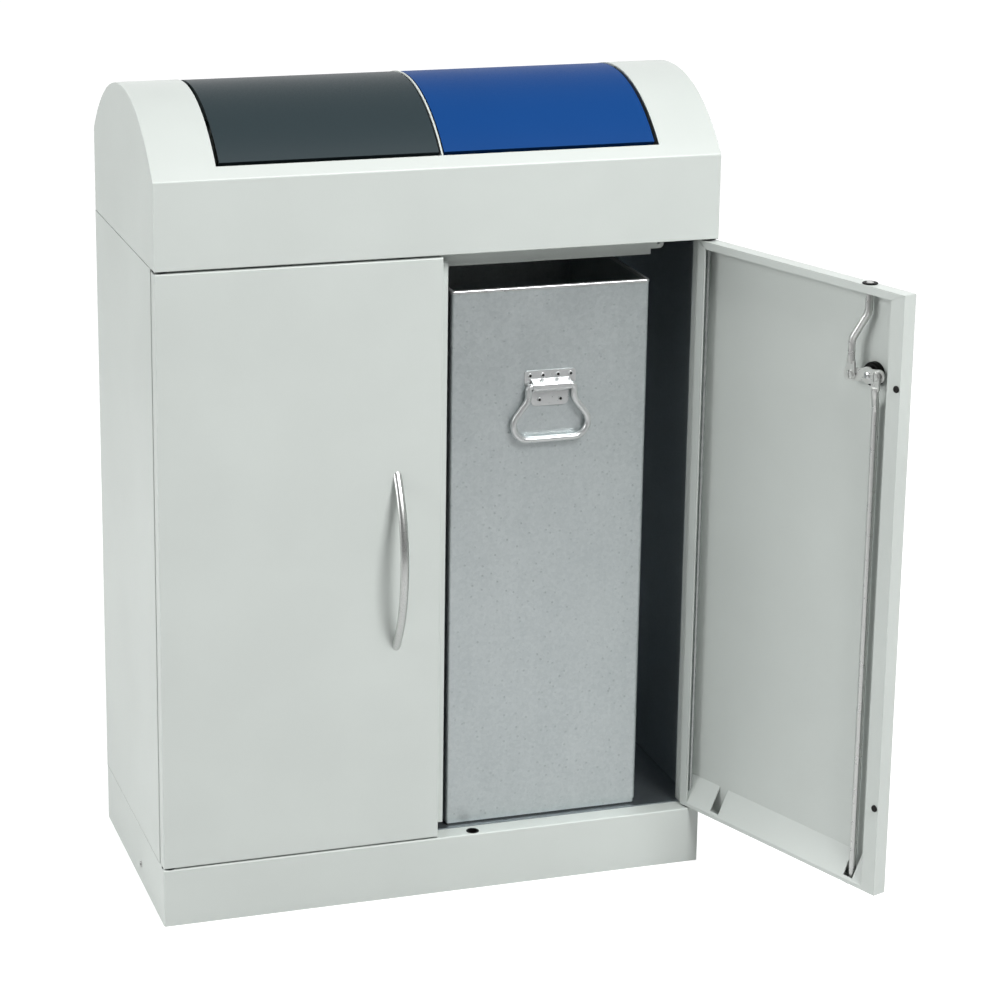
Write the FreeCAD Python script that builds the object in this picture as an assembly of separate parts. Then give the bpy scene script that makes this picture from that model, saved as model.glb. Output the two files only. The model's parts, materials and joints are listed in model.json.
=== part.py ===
import FreeCAD, Part
import math
import os

# Double recycling station: a sheet-steel cabinet on a plinth, with two doors, a barrel hood
# with two swing flaps, and two galvanised bins. X runs to the right, Y to the back, Z up.
# The origin is on the floor under the middle of the plinth. All sizes are in millimetres.

V = FreeCAD.Vector
os.makedirs("parts", exist_ok=True)

# Cabinet
width = 720.0
depth = 360.0
sheet = 1.5
fold_share = 0.9
plinth_height = 76.0
door_zone_height = 770.0
plinth_edge_radius = 2.0
jamb_width = 18.0
jamb_return = 14.0
jamb_gap = 5.0
back_flange = 15.0
floor_rear_lip = 12.0
plinth_screw_y = -40.0
plinth_screw_z = 25.0
plinth_screw_radius = 4.5
plinth_screw_head = 1.6
plinth_screw_shank_radius = 2.0
plinth_screw_length = 8.0

# Hood
hood_front_height = 108.0
hood_rise = 86.0
crease_radius = 4.0
hood_front_flange = 40.0
hood_back_flange = 20.0
hood_end_flange = 20.0
hood_shoulder_width = 79.0
opening_half_angle = 46.6
divider_sheet = 2.0
weld_gap = 0.1

# Chutes under the hood, and the rail in front of them
chute_bottom_above_rim = 30.0
chute_lip_start = 59.0
chute_lip_end_below_crease = 6.0
cheek_clearance = 2.0
rail_half_length = 297.0
rail_height = 14.0
rail_behind_door = 8.0
rail_width = 11.9
rail_end_radius = 6.0
rail_hole_from_end = 7.0
rail_hole_radius = 1.8

# Swing flaps
flap_gap = 5.0
flap_end_gap = 5.5
flap_divider_gap = 2.2
flap_recess = 0.8
flap_hem = 9.0
flap_pivot_below_surface = 12.0
ear_sheet = 2.0
ear_inset = 1.0
ear_boss_radius = 13.0
ear_half_angle = 34.0
axle_radius = 4.0
axle_past_ear = 4.0
bush_wall = 2.0
bush_flange_wall = 2.5
running_clearance = 0.05
side_play = 0.6

# Doors
door_depth = 20.0
door_side_reveal = 0.5
door_meeting_gap = 2.0
door_top_gap = 3.0
door_bottom_gap = 2.0
door_edge_radius = 1.8
door_open_angle = 110.5
hinge_inset = 9.0
hinge_rod_radius = 2.5
hinge_rod_engagement = 7.0
hinge_flange = 13.0
free_flange = 22.0
top_lip = 10.0
channel_rise = 34.0
channel_slot_width = 16.0
channel_slot_edge = 2.0
mitre_groove = 0.5
spare_slot_from_free_edge = 294.0
pivot_bush_radius = 5.0
pivot_bush_flange = 1.5
pivot_bush_depth = 5.0
seat_clearance = 0.3

# Bow handles
handle_height = 235.0
handle_below_middle = 3.5
handle_from_free_edge = 57.0
handle_reach = 38.0
handle_bar = 8.0
handle_width = 11.0
handle_screw_inset = 10.5
handle_screw_radius = 2.0
handle_screw_head_radius = 4.0
handle_screw_head = 2.6
handle_screw_depth = 5.0

# Closing strip on the left door, and the buffers on the right door that meet it
strip_fixed_width = 19.0
strip_from_free_edge = 2.0
strip_overlap = 12.0
buffer_radius = 4.3
buffer_height = 2.5
buffer_from_free_edge = 6.0
buffer_from_door_end = 115.0

# Rod lock on the right door
lock_from_free_edge = 58.0
lock_below_door_top = 110.0
lock_body_radius = 11.0
lock_body_depth = 12.0
lock_bezel_radius = 13.5
lock_bezel = 2.5
lock_nut_radius = 15.0
lock_nut_height = 9.0
lock_nut_round = 3.0
plug_radius = 7.0
plug_face_proud = 0.6
plug_square = 8.0
key_slot_length = 8.0
key_slot_width = 1.6
key_slot_depth = 4.0
cam_depth = 14.5
cam_sheet = 2.0
cam_rest_tilt = 8.0
cam_turn = 40.0
cam_hub_radius = 10.5
cam_arm_width = 16.0
cam_slot_play = 0.9
cam_screw_radius = 4.5
cam_screw_head = 2.4
rod_radius = 4.5
rod_depth = 10.0
rod_bend = 20.0
rod_pin_radius = 3.0
rod_pad_half_width = 6.5
rod_pad_sheet = 3.0
rod_pad_length = 18.0
rod_pad_overlap = 4.0
rod_pin_past_cam = 1.0
rod_head_radius = 5.5
rod_head = 2.2
rod_head_slot = 1.3
upper_rod_pin_reach = 26.0
upper_rod_from_free_edge = 67.0
upper_jog_above_lock = 40.0
upper_jog_height = 35.0
upper_rod_proud = 2.0
lower_rod_pin_reach = 16.0
lower_rod_from_free_edge = 48.0
lower_jog_below_lock = 21.0
lower_jog_height = 18.0
lower_rod_tip_above_door = 2.0
guide_wall = 2.5
guide_flange_wall = 5.0
guide_flange = 1.5
grommet_flange = 0.8
grommet_height = 5.0
strike_clearance = 1.5
sill_bush_wall = 2.0
sill_bush_flange_wall = 3.5
sill_bush_flange = 0.6

# Bins
bin_wall_width = 262.0
bin_from_middle = 19.0
bin_depth = 294.0
bin_setback = 31.0
bin_top_below_hood = 54.0
bin_corner_radius = 4.5
bin_rim_height = 4.0
bin_rim_out = 0.6
bin_rim_in = 2.5
bin_rim_round = 1.9
bin_base_height = 8.0
bin_base_inset = 1.5
bin_base_width = 14.0
bin_floor_gap = 0.3

# Drop handles on the bins
plate_width = 68.0
plate_tab_width = 50.0
plate_top_above_barrel = 19.0
plate_bottom_below_barrel = 27.0
plate_corner = 4.0
plate_tab_corner = 7.0
barrel_below_bin_top = 128.0
barrel_length = 51.0
barrel_wall = 1.5
barrel_foot = 17.0
barrel_crown = 7.6
barrel_round = 2.4
bail_radius = 4.2
bail_shoulder = 30.6
bail_leg_drop = 18.0
bail_half_width = 53.5
bail_wide_drop = 48.0
bail_drop = 69.0
bail_bottom_half = 41.0
bail_shoulder_bend = 5.0
bail_bend = 19.0
rivet_radius = 1.6
rivet_head_radius = 3.2
rivet_head = 1.6
rivet_rows = ((13.0, (-27.0, -10.0, 10.0, 27.0)), (-19.0, (-14.0, 14.0)))

# Heights and places that follow from the sizes above
half_width = width / 2
half_depth = depth / 2
front_y = -half_depth
hood_base = plinth_height + door_zone_height
crease_z = hood_base + hood_front_height
barrel_radius = (half_depth ** 2 + hood_rise ** 2) / (2 * hood_rise)
barrel_centre_z = crease_z + hood_rise - barrel_radius
opening_half_width = half_width - hood_shoulder_width
door_back_y = front_y + door_depth
door_bottom_z = plinth_height + door_bottom_gap
door_top_z = hood_base - door_top_gap
door_free_x = door_meeting_gap / 2
door_edge_x = half_width - door_side_reveal
hinge_x = half_width - hinge_inset
hinge_y = front_y + door_depth / 2
jamb_y = door_back_y + jamb_gap
floor_top_z = plinth_height + sheet
cheek_x = opening_half_width + cheek_clearance
rail_y = door_back_y + rail_behind_door
chute_half_depth = -(rail_y + rail_width + weld_gap)
bin_bottom_z = floor_top_z + bin_floor_gap
bin_top_z = hood_base - bin_top_below_hood
bin_front_y = front_y + bin_setback
bin_centre_x = bin_from_middle + bin_wall_width / 2
barrel_z = bin_top_z - barrel_below_bin_top
chute_bottom_z = bin_top_z + chute_bottom_above_rim
chute_lip_z = hood_base + chute_lip_start
handle_centre_z = (door_bottom_z + door_top_z) / 2 - handle_below_middle
lock_x = door_free_x + lock_from_free_edge
lock_z = door_top_z - lock_below_door_top
upper_rod_x = door_free_x + upper_rod_from_free_edge
lower_rod_x = door_free_x + lower_rod_from_free_edge
rod_y = front_y + rod_depth
slope_thickness = sheet * math.hypot(1.0, channel_rise / (door_depth - sheet))


def block(x0, x1, y0, y1, z0, z1):
    return Part.makeBox(x1 - x0, y1 - y0, z1 - z0, V(x0, y0, z0))


def round_bar(start, end, radius):
    return Part.makeCylinder(radius, (end - start).Length, start, end - start)


def prism_x(outline, x0, x1):
    """A straight prism along X, from corners given as (y, z)."""
    corners = [V(x0, y, z) for y, z in outline]
    return Part.Face(Part.makePolygon(corners + corners[:1])).extrude(V(x1 - x0, 0, 0))


def rounded_slab(x0, x1, y0, y1, z0, z1, radius):
    """A block with its four upright edges rounded."""
    slab = block(x0, x1, y0, y1, z0, z1)
    upright = [e for e in slab.Edges if abs(e.Vertexes[0].Z - e.Vertexes[1].Z) > (z1 - z0) / 2]
    return slab.makeFillet(radius, upright)


def edges_where(shape, test):
    return [e for e in shape.Edges if all(test(v.Point) for v in e.Vertexes)]


def near(a, b):
    return abs(a - b) < 1e-6


def mirrored(shape):
    return shape.mirror(V(0, 0, 0), V(1, 0, 0))


def group(shapes):
    return Part.makeCompound(shapes)


def opened(shape):
    """Turns a piece of the closed right door to the open place it rests in."""
    turned = shape.copy()
    turned.rotate(V(hinge_x, hinge_y, 0), V(0, 0, 1), door_open_angle)
    return turned


def save(name, shape):
    shape.exportStep("parts/" + name + ".step")


def swept_rod(corners, bends, radius):
    """A round rod through the corners, with a tangent arc of the given bend at each inner corner."""
    edges = []
    start = corners[0]
    for before, corner, after, bend in zip(corners, corners[1:], corners[2:], bends):
        back = (before - corner).normalize()
        on = (after - corner).normalize()
        half_turn = back.getAngle(on) / 2
        reach = bend / math.tan(half_turn)
        middle = corner + (back + on).normalize() * (bend / math.sin(half_turn) - bend)
        first = corner + back * reach
        last = corner + on * reach
        edges.append(Part.LineSegment(start, first).toShape())
        edges.append(Part.Arc(first, middle, last).toShape())
        start = last
    edges.append(Part.LineSegment(start, corners[-1]).toShape())
    ring = Part.Wire([Part.Circle(corners[0], corners[1] - corners[0], radius).toShape()])
    return Part.Wire(edges).makePipeShell([ring], True, False)


# Plinth: a folded sheet box that stands flat on the floor
plinth = rounded_slab(-half_width, half_width, front_y, half_depth, 0, plinth_height, plinth_edge_radius)
plinth_top = edges_where(plinth, lambda p: near(p.z, plinth_height))
plinth = plinth.makeFillet(plinth_edge_radius, plinth_top)
plinth_inside = block(-half_width + sheet, half_width - sheet, front_y + sheet, half_depth - sheet,
                      sheet, plinth_height - sheet)
pivot_holes = []
for side in (-1, 1):
    for level in (plinth_height, hood_base):
        pivot_holes.append(round_bar(V(side * hinge_x, hinge_y, level - 2 * sheet),
                                     V(side * hinge_x, hinge_y, level + 2 * sheet), pivot_bush_radius))
sill_bush_radius = rod_radius + strike_clearance + sill_bush_wall
sill_hole = round_bar(V(lower_rod_x, rod_y, plinth_height - 2 * sheet),
                      V(lower_rod_x, rod_y, plinth_height + sheet), sill_bush_radius)
plinth_screw_holes = [round_bar(V(side * (half_width - 2 * sheet), plinth_screw_y, plinth_screw_z),
                                V(side * (half_width + sheet), plinth_screw_y, plinth_screw_z),
                                plinth_screw_shank_radius) for side in (-1, 1)]
plinth = plinth.cut([plinth_inside, sill_hole] + pivot_holes + plinth_screw_holes)
save("plinth", plinth)

# Screws low on the plinth's sides
plinth_screws = []
for side in (-1, 1):
    seat = V(side * half_width, plinth_screw_y, plinth_screw_z)
    outward = V(side, 0, 0)
    head = round_bar(seat, seat + outward * plinth_screw_head, plinth_screw_radius)
    rim = edges_where(head, lambda p: near(abs(p.x), half_width + plinth_screw_head))
    head = head.makeChamfer(plinth_screw_head / 2, rim)
    shank = round_bar(seat - outward * plinth_screw_length, seat, plinth_screw_shank_radius)
    plinth_screws.append(head.fuse(shank))
save("plinth_screws", group(plinth_screws))

# Floor of the cabinet: a sheet on the plinth that the bins stand on, with its rear edge turned up
floor_panel = block(-half_width + sheet, half_width - sheet, jamb_y, half_depth - 2 * sheet,
                    plinth_height, floor_top_z)
floor_rear = block(-half_width + sheet, half_width - sheet, half_depth - 3 * sheet, half_depth - 2 * sheet,
                   floor_top_z, floor_top_z + floor_rear_lip)
jamb_notches = [block(side * half_width - jamb_width - sheet, side * half_width + jamb_width + sheet,
                      jamb_y - sheet, jamb_y + jamb_return + sheet, plinth_height - sheet, floor_top_z + sheet)
                for side in (-1, 1)]
floor_panel = floor_panel.fuse(floor_rear).cut(jamb_notches).removeSplitter()
save("floor_panel", floor_panel)


# Side panels: a flat sheet whose front edge is folded in to a jamb and back again
def side_panel():
    wall = block(half_width - sheet, half_width, jamb_y, half_depth, plinth_height, hood_base)
    jamb = block(half_width - jamb_width, half_width, jamb_y, jamb_y + sheet, plinth_height, hood_base)
    fold = block(half_width - jamb_width, half_width - jamb_width + sheet, jamb_y, jamb_y + jamb_return,
                 plinth_height, hood_base)
    panel = wall.fuse([jamb, fold]).removeSplitter()
    corner = edges_where(panel, lambda p: near(p.x, half_width) and near(p.y, jamb_y))
    nose = edges_where(panel, lambda p: near(p.x, half_width - jamb_width) and near(p.y, jamb_y))
    return panel.makeFillet(fold_share * sheet, corner + nose)


save("right_side_panel", side_panel())
save("left_side_panel", mirrored(side_panel()))

# Back panel: a shallow tray between the side panels
back_panel = block(-half_width + sheet, half_width - sheet, half_depth - back_flange, half_depth,
                   plinth_height, hood_base)
back_hollow = block(-half_width + 2 * sheet, half_width - 2 * sheet, half_depth - 2 * back_flange,
                    half_depth - sheet, plinth_height + sheet, hood_base - sheet)
floor_notch = block(-half_width, half_width, half_depth - 2 * back_flange, half_depth - 2 * sheet + weld_gap,
                    plinth_height - sheet, floor_top_z + floor_rear_lip + sheet)
save("back_panel", back_panel.cut([back_hollow, floor_notch]))


# Hood: the form of a house end with a barrel top, used for the shell, its hollow and the end plates
def hood_form(x0, x1, inset, base):
    half = half_depth - inset
    radius = barrel_radius - inset
    shoulder = barrel_centre_z + math.sqrt(radius ** 2 - half ** 2)
    front_foot = V(x0, -half, base)
    front_shoulder = V(x0, -half, shoulder)
    crown = V(x0, 0, barrel_centre_z + radius)
    rear_shoulder = V(x0, half, shoulder)
    rear_foot = V(x0, half, base)
    outline = Part.Wire([Part.LineSegment(front_foot, front_shoulder).toShape(),
                         Part.Arc(front_shoulder, crown, rear_shoulder).toShape(),
                         Part.LineSegment(rear_shoulder, rear_foot).toShape(),
                         Part.LineSegment(rear_foot, front_foot).toShape()])
    form = Part.Face(outline).extrude(V(x1 - x0, 0, 0))
    creases = [e for e in edges_where(form, lambda p: near(p.z, shoulder)) if near(e.Length, x1 - x0)]
    return form.makeFillet(crease_radius - inset, creases)


def on_barrel(angle, radius, x=0.0):
    """A point at an angle from the crown, counted towards the front, in degrees."""
    turn = math.radians(angle)
    return V(x, -radius * math.sin(turn), barrel_centre_z + radius * math.cos(turn))


def barrel_band(angle0, angle1, radius0, radius1, x0, x1):
    middle = (angle0 + angle1) / 2
    inner = [on_barrel(a, radius0, x0) for a in (angle0, middle, angle1)]
    outer = [on_barrel(a, radius1, x0) for a in (angle0, middle, angle1)]
    outline = Part.Wire([Part.Arc(*inner).toShape(), Part.LineSegment(inner[2], outer[2]).toShape(),
                         Part.Arc(*outer[::-1]).toShape(), Part.LineSegment(outer[0], inner[0]).toShape()])
    return Part.Face(outline).extrude(V(x1 - x0, 0, 0))


hood_end_x = half_width - sheet
hood_hollow = hood_form(-half_width, half_width, sheet, hood_base + sheet)
hood_mouth = block(-half_width, half_width, front_y + hood_front_flange, half_depth - hood_back_flange,
                   hood_base - sheet, hood_base + 2 * sheet)
flap_opening = barrel_band(-opening_half_angle, opening_half_angle, barrel_radius - 4 * sheet,
                           barrel_radius + 4 * sheet, -opening_half_width, opening_half_width)
strike_hole = round_bar(V(upper_rod_x, rod_y, hood_base - sheet), V(upper_rod_x, rod_y, hood_base + 2 * sheet),
                        rod_radius + strike_clearance)
hood_shell = hood_form(-hood_end_x, hood_end_x, 0, hood_base)
hood_feet = [e for e in edges_where(hood_shell, lambda p: near(p.z, hood_base)) if near(e.Length, 2 * hood_end_x)]
hood_shell = hood_shell.makeFillet(fold_share * sheet, hood_feet)
hood_shell = hood_shell.cut([hood_hollow, hood_mouth, flap_opening, strike_hole] + pivot_holes)
save("hood_shell", hood_shell)

pivot_z = crease_z + hood_rise - flap_pivot_below_surface
axle_line = V(0, 0, pivot_z)
hood_end_plate = hood_form(hood_end_x, half_width, 0, hood_base)
end_rim = edges_where(hood_end_plate, lambda p: near(p.x, half_width))
hood_end_plate = hood_end_plate.makeFillet(fold_share * sheet, end_rim)
end_axle_hole = round_bar(axle_line + V(hood_end_x - sheet, 0, 0), axle_line + V(half_width + sheet, 0, 0),
                          axle_radius + running_clearance)
hood_end_foot = block(hood_end_x - hood_end_flange, hood_end_x, front_y + hood_front_flange,
                      half_depth - hood_back_flange, hood_base, hood_base + sheet)
hood_end = hood_end_plate.fuse(hood_end_foot).cut(end_axle_hole).removeSplitter()
save("hood_right_end", hood_end)
save("hood_left_end", mirrored(hood_end))

# Chutes: under each flap a folded duct of front plate, outer cheek and rear plate leads into the bin.
# The front and rear plates lean out at their tops to meet the hood's front and back.
chute_lip_y = front_y + sheet + weld_gap
chute_lip_end_z = crease_z - chute_lip_end_below_crease
lip_slope = (chute_lip_end_z - chute_lip_z) / (-chute_half_depth - chute_lip_y)
lip_thickness = sheet * math.hypot(1.0, lip_slope)
above_hood = crease_z + 2 * hood_rise
chute_outline = ((-chute_half_depth, chute_bottom_z), (-chute_half_depth, chute_lip_z),
                 (chute_lip_y, chute_lip_end_z), (chute_lip_y, above_hood),
                 (-chute_lip_y, above_hood), (-chute_lip_y, chute_lip_end_z),
                 (chute_half_depth, chute_lip_z), (chute_half_depth, chute_bottom_z))
front_plate_outline = ((-chute_half_depth, chute_bottom_z), (-chute_half_depth, chute_lip_z),
                       (chute_lip_y, chute_lip_end_z), (chute_lip_y, chute_lip_end_z + lip_thickness),
                       (-chute_half_depth + sheet, chute_lip_z + lip_thickness - sheet * lip_slope),
                       (-chute_half_depth + sheet, chute_bottom_z))
under_hood = hood_form(-half_width, half_width, sheet + weld_gap, hood_base - door_zone_height / 2)
chute_inner_x = divider_sheet / 2 + weld_gap
chute_cheek = prism_x(chute_outline, cheek_x, cheek_x + sheet)
chute_front = prism_x(front_plate_outline, chute_inner_x, cheek_x)
chute_rear = chute_front.mirror(V(0, 0, 0), V(0, 1, 0))
axle_hole = round_bar(axle_line + V(cheek_x - sheet, 0, 0), axle_line + V(cheek_x + 2 * sheet, 0, 0),
                      axle_radius + running_clearance)
chute = chute_cheek.fuse([chute_front, chute_rear]).common(under_hood).cut(axle_hole).removeSplitter()
save("right_chute", chute)
save("left_chute", mirrored(chute))

# Divider: the plate between the two chutes, whose top edge shows as a thin line between the flaps
divider = prism_x(chute_outline, -divider_sheet / 2, divider_sheet / 2).common(under_hood)
crown_half_angle = opening_half_angle - math.degrees(weld_gap / barrel_radius)
divider_crown = barrel_band(-crown_half_angle, crown_half_angle,
                            barrel_radius - flap_hem, barrel_radius, -divider_sheet / 2, divider_sheet / 2)
divider_hole = round_bar(axle_line - V(divider_sheet, 0, 0), axle_line + V(divider_sheet, 0, 0),
                         axle_radius + running_clearance)
divider = divider.fuse(divider_crown).cut(divider_hole).removeSplitter()
save("hood_divider", divider)

# Front rail: an angle under the hood's front flange, with rounded ends and a hole near each end
rail_top = block(-rail_half_length, rail_half_length, rail_y, rail_y + rail_width,
                 hood_base - sheet, hood_base)
rail_lip = block(-rail_half_length, rail_half_length, rail_y, rail_y + sheet,
                 hood_base - rail_height, hood_base)
front_rail = rail_top.fuse(rail_lip).removeSplitter()
rail_corners = [e for e in edges_where(front_rail, lambda p: near(p.z, hood_base - rail_height))
                if near(e.Length, sheet)]
rail_holes = [round_bar(V(x, rail_y - sheet, hood_base - rail_height / 2),
                        V(x, rail_y + 2 * sheet, hood_base - rail_height / 2), rail_hole_radius)
              for x in (-rail_half_length + rail_hole_from_end, rail_half_length - rail_hole_from_end)]
save("front_rail", front_rail.makeFillet(rail_end_radius, rail_corners).cut(rail_holes))

# Axles of the flaps: a pin from each hood end through the outer cheek, and one pin through the divider
flap_inner_x = divider_sheet / 2 + flap_divider_gap
flap_outer_x = opening_half_width - flap_gap
outer_ear_x = flap_outer_x - ear_inset - ear_sheet
inner_ear_x = flap_inner_x + ear_inset
outer_axle = round_bar(axle_line + V(outer_ear_x - axle_past_ear, 0, 0), axle_line + V(half_width, 0, 0),
                       axle_radius)
inner_axle_end = inner_ear_x + ear_sheet + axle_past_ear
inner_axle = round_bar(axle_line - V(inner_axle_end, 0, 0), axle_line + V(inner_axle_end, 0, 0), axle_radius)
save("flap_axles", group([mirrored(outer_axle), inner_axle, outer_axle]))

# Swing flaps: a curved sheet with hemmed front and rear edges, hung from two ears
flap_outside = barrel_radius - flap_recess
flap_inside = flap_outside - sheet
flap_front = opening_half_angle - math.degrees(flap_end_gap / barrel_radius)
hem_angle = math.degrees(sheet / barrel_radius)
flap_skin = barrel_band(-flap_front, flap_front, flap_inside, flap_outside, flap_inner_x, flap_outer_x)
hems = [barrel_band(a, a + hem_angle, flap_outside - flap_hem, flap_inside, flap_inner_x, flap_outer_x)
        for a in (-flap_front, flap_front - hem_angle)]
flap_skin = flap_skin.fuse(hems).removeSplitter()
save("right_flap_skin", flap_skin)
save("left_flap_skin", mirrored(flap_skin))

# Ears: crescent plates under the flap's ends, with a boss round the axle
ear_top = flap_inside - weld_gap
bush_radius = axle_radius + running_clearance + bush_wall


def flap_ear(x0):
    front = on_barrel(ear_half_angle, ear_top + flap_hem)
    middle = on_barrel(0, ear_top + 2 * flap_hem)
    centre = axle_line + V(x0, 0, 0)
    through = V(ear_sheet, 0, 0)
    diagonal = ear_boss_radius * math.sqrt(0.5)
    outline = ((front.y, front.z), (middle.y, middle.z), (-front.y, front.z),
               (diagonal, pivot_z - diagonal), (-diagonal, pivot_z - diagonal))
    boss = round_bar(centre, centre + through, ear_boss_radius)
    barrel = round_bar(V(x0, 0, barrel_centre_z), V(x0 + ear_sheet, 0, barrel_centre_z), ear_top)
    hole = round_bar(centre, centre + through, bush_radius + running_clearance)
    return prism_x(outline, x0, x0 + ear_sheet).fuse(boss).common(barrel).cut(hole).removeSplitter()


flap_ears = group([flap_ear(inner_ear_x), flap_ear(outer_ear_x)])
save("right_flap_ears", flap_ears)
save("left_flap_ears", mirrored(flap_ears))


# Flap bushes: flanged rings in the ears, whose flanges keep the flap off its cheeks
def flap_bush(ear_x, flange_from, flange_to):
    body = round_bar(axle_line + V(ear_x, 0, 0), axle_line + V(ear_x + ear_sheet, 0, 0), bush_radius)
    flange = round_bar(axle_line + V(flange_from, 0, 0), axle_line + V(flange_to, 0, 0),
                       bush_radius + bush_flange_wall)
    bore = round_bar(axle_line, axle_line + V(half_width, 0, 0), axle_radius + running_clearance)
    return body.fuse(flange).cut(bore).removeSplitter()


flap_bushes = group([flap_bush(inner_ear_x, divider_sheet / 2 + side_play, inner_ear_x),
                     flap_bush(outer_ear_x, outer_ear_x + ear_sheet, cheek_x - side_play)])
save("right_flap_bushes", flap_bushes)
save("left_flap_bushes", mirrored(flap_bushes))


# The joint where a door's top lip meets a side flange: a thin slanting groove in the pan's back
def top_mitre(outer_x, inner_x):
    half = mitre_groove / 2
    corners = [V(outer_x, door_back_y - mitre_groove, door_top_z - half),
               V(outer_x, door_back_y - mitre_groove, door_top_z + half),
               V(inner_x, door_back_y - mitre_groove, door_top_z - top_lip + half),
               V(inner_x, door_back_y - mitre_groove, door_top_z - top_lip - half)]
    return Part.Face(Part.makePolygon(corners + corners[:1])).extrude(V(0, 2 * mitre_groove, 0))


# Doors: a folded pan with return flanges, a lip at the top and a leaning channel along the bottom.
# The channel has two slots, one of them for the lower lock rod.
def door_pan(holes):
    pan = block(door_free_x, door_edge_x, front_y, door_back_y, door_bottom_z, door_top_z)
    pan = pan.makeFillet(door_edge_radius, edges_where(pan, lambda p: near(p.y, front_y)))
    hollow = block(door_free_x + sheet, door_edge_x - sheet, front_y + sheet, door_back_y - sheet,
                   door_bottom_z + sheet, door_top_z - sheet)
    mouth = block(door_free_x + free_flange, door_edge_x - hinge_flange, door_back_y - 2 * sheet,
                  door_back_y + sheet, door_bottom_z + sheet, door_top_z - top_lip)
    foot = door_bottom_z + sheet
    channel = prism_x(((door_back_y, foot), (door_back_y, foot + slope_thickness),
                       (front_y + sheet, foot + channel_rise + slope_thickness),
                       (front_y + sheet, foot + channel_rise)), door_free_x + sheet, door_edge_x - sheet)
    slots = [block(x - channel_slot_width / 2, x + channel_slot_width / 2, front_y + sheet,
                   door_back_y - channel_slot_edge, foot + weld_gap, foot + channel_rise + 2 * slope_thickness)
             for x in (lower_rod_x, door_free_x + spare_slot_from_free_edge)]
    mitres = [top_mitre(door_free_x, door_free_x + free_flange), top_mitre(door_edge_x, door_edge_x - hinge_flange)]
    hinge_hole = round_bar(V(hinge_x, hinge_y, door_bottom_z - sheet), V(hinge_x, hinge_y, door_top_z + sheet),
                           hinge_rod_radius + running_clearance)
    pan = pan.cut([hollow, mouth]).fuse(channel)
    return pan.cut(slots + mitres + [hinge_hole] + holes).removeSplitter()


handle_x = door_free_x + handle_from_free_edge
screw_heights = [handle_centre_z + s * (handle_height / 2 - handle_screw_inset) for s in (-1, 1)]
handle_holes = [round_bar(V(handle_x, front_y - sheet, z), V(handle_x, front_y + 2 * sheet, z),
                          handle_screw_radius + running_clearance) for z in screw_heights]
lock_hole = round_bar(V(lock_x, front_y - sheet, lock_z), V(lock_x, front_y + 2 * sheet, lock_z),
                      lock_body_radius + running_clearance)
guide_radius = rod_radius + running_clearance + guide_wall
guide_hole = round_bar(V(upper_rod_x, rod_y, door_top_z - 2 * sheet), V(upper_rod_x, rod_y, door_top_z + sheet),
                       guide_radius + running_clearance)
grommet_hole = round_bar(V(lower_rod_x, rod_y, door_bottom_z - sheet),
                         V(lower_rod_x, rod_y, door_bottom_z + 2 * sheet), guide_radius + running_clearance)
save("left_door_panel", mirrored(door_pan(handle_holes)))
save("right_door_panel", opened(door_pan(handle_holes + [lock_hole, guide_hole, grommet_hole])))

# Hinge rods: a long steel rod down the fold of each door, whose ends turn in the pivot bushes
hinge_rod = round_bar(V(hinge_x, hinge_y, plinth_height - hinge_rod_engagement),
                      V(hinge_x, hinge_y, hood_base + hinge_rod_engagement), hinge_rod_radius)
hinge_rod = hinge_rod.makeChamfer(hinge_rod_radius / 3, [e for e in hinge_rod.Edges if e.Closed])
save("left_hinge_rod", mirrored(hinge_rod))
save("right_hinge_rod", opened(hinge_rod))

# Pivot bushes: flanged black rings, two in the plinth's top and two in the hood's front flange.
# The doors sit on the flanges of the lower two.
pivot_bushes = []
for side in (-1, 1):
    for level, towards_door, flange in ((plinth_height, 1, door_bottom_gap - seat_clearance),
                                        (hood_base, -1, pivot_bush_flange)):
        seat = V(side * hinge_x, hinge_y, level)
        up = V(0, 0, towards_door)
        body = round_bar(seat - up * pivot_bush_depth, seat, pivot_bush_radius - running_clearance)
        ring = round_bar(seat, seat + up * flange, pivot_bush_radius + sheet)
        bore = round_bar(seat - up * 2 * pivot_bush_depth, seat + up * 2 * pivot_bush_depth,
                         hinge_rod_radius + running_clearance)
        pivot_bushes.append(body.fuse(ring).cut(bore).removeSplitter())
save("pivot_bushes", group(pivot_bushes))


# Bow handles: an oval bar bent to one arc and cut flat where it meets the door, screwed on from inside
def bow_handle():
    half = handle_height / 2
    arc_radius = (half ** 2 + handle_reach ** 2) / (2 * handle_reach)
    axis_at = V(handle_x, front_y - handle_reach + arc_radius, handle_centre_z)
    middle = axis_at - V(0, arc_radius - handle_bar / 2, 0)
    oval = Part.Ellipse(middle + V(handle_width / 2, 0, 0), middle + V(0, handle_bar / 2, 0), middle)
    ring = Part.Face(Part.Wire(oval.toShape())).revolve(axis_at, V(1, 0, 0), 360)
    bow = ring.common(block(handle_x - handle_width, handle_x + handle_width, front_y - 2 * handle_reach, front_y,
                            handle_centre_z - handle_height, handle_centre_z + handle_height))
    holes = [round_bar(V(handle_x, front_y, z), V(handle_x, front_y - handle_screw_depth, z),
                       handle_screw_radius + running_clearance) for z in screw_heights]
    return bow.cut(holes)


save("left_handle", mirrored(bow_handle()))
save("right_handle", opened(bow_handle()))

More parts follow.
